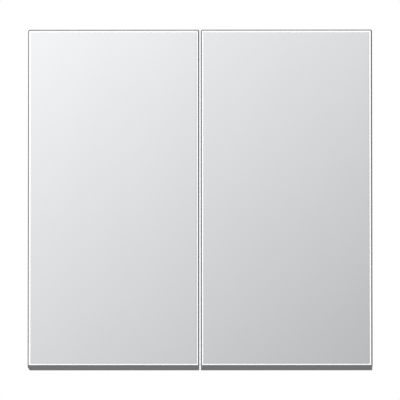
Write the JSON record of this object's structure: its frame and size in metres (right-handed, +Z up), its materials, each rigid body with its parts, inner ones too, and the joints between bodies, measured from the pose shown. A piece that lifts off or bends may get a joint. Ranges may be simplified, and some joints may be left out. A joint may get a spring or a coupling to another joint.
{
  "type": "mirror cabinet",
  "caption": "Wall-hung bathroom mirror cabinet with side-hinged, metal-framed mirror doors, dark finger pulls below them and adjustable glass shelves inside.",
  "frame": {"origin": "middle of the rectangle of wall holes, on the wall plane at the cabinet's back", "axes": "+X to the right seen from the front, -Y out of the mirror doors towards the user, +Y into the wall, +Z up"},
  "size_m": [0.6, 0.14, 0.5946],
  "materials": {
    "frame_metal": "bright satin anodised extrusion",
    "mirror": "silvered float glass",
    "dark_pull": "dark grey anodised, satin",
    "white_board": "white melamine-faced board",
    "back_board": "white-faced hardboard",
    "core": "light plain board, hidden inside the door",
    "white_panel": "white-faced thin board",
    "shelf_glass": "clear float glass with ground edges",
    "nickel": "nickel-plated steel",
    "zinc": "zinc-plated steel",
    "pin_steel": "plain drawn steel wire",
    "hinge_metal": "satin nickel-plated steel strip",
    "magnet": "plain ferrite magnet",
    "beech": "plain beech",
    "white_plastic": "moulded white plastic",
    "white_rubber": "white silicone",
    "clear_rubber": "translucent soft polyurethane"
  },
  "bodies": {
    "carcass": {"side_left": "white_board", "side_right": "white_board", "top_board": "white_board", "bottom_board": "white_board", "back_board": "back_board", "wall_rail_upper": "white_board", "wall_rail_lower": "white_board", "glass_shelf_upper": "shelf_glass", "glass_shelf_lower": "shelf_glass", "shelf_pins": "nickel", "cam_locks": "zinc", "cam_bolts": "zinc", "wood_dowels": "beech", "catch_sleeves": "white_plastic", "catch_magnets": "magnet", "left_hinge_fixed_leaf": "hinge_metal", "right_hinge_fixed_leaf": "hinge_metal", "left_hinge_pin": "pin_steel", "right_hinge_pin": "pin_steel", "fixed_leaf_screws": "zinc", "back_board_nails": "zinc"},
    "left_door": {"left_frame_outer": "frame_metal", "left_frame_inner": "frame_metal", "left_frame_top": "frame_metal", "left_frame_bottom": "frame_metal", "left_mirror_pane": "mirror", "left_core_board": "core", "left_inner_panel": "white_panel", "left_corner_cleats": "zinc", "left_finger_pull": "dark_pull", "left_pull_screws": "zinc", "left_strike_discs": "nickel", "left_bumpers": "clear_rubber", "left_hinge_moving_leaf": "hinge_metal", "left_moving_leaf_screws": "zinc", "left_meeting_seal": "white_rubber"},
    "right_door": {"right_frame_outer": "frame_metal", "right_frame_inner": "frame_metal", "right_frame_top": "frame_metal", "right_frame_bottom": "frame_metal", "right_mirror_pane": "mirror", "right_core_board": "core", "right_inner_panel": "white_panel", "right_corner_cleats": "zinc", "right_finger_pull": "dark_pull", "right_pull_screws": "zinc", "right_strike_discs": "nickel", "right_bumpers": "clear_rubber", "right_hinge_moving_leaf": "hinge_metal", "right_moving_leaf_screws": "zinc"}
  },
  "joints": [
    {"name": "left_door_hinge", "type": "hinge", "parent": "carcass", "child": "left_door", "pos_m": [-0.2959, -0.11875, 0], "axis": [0, 0, -1], "range_deg": [0, 105]},
    {"name": "right_door_hinge", "type": "hinge", "parent": "carcass", "child": "right_door", "pos_m": [0.2959, -0.11875, 0], "axis": [0, 0, 1], "range_deg": [0, 105]}
  ]
}
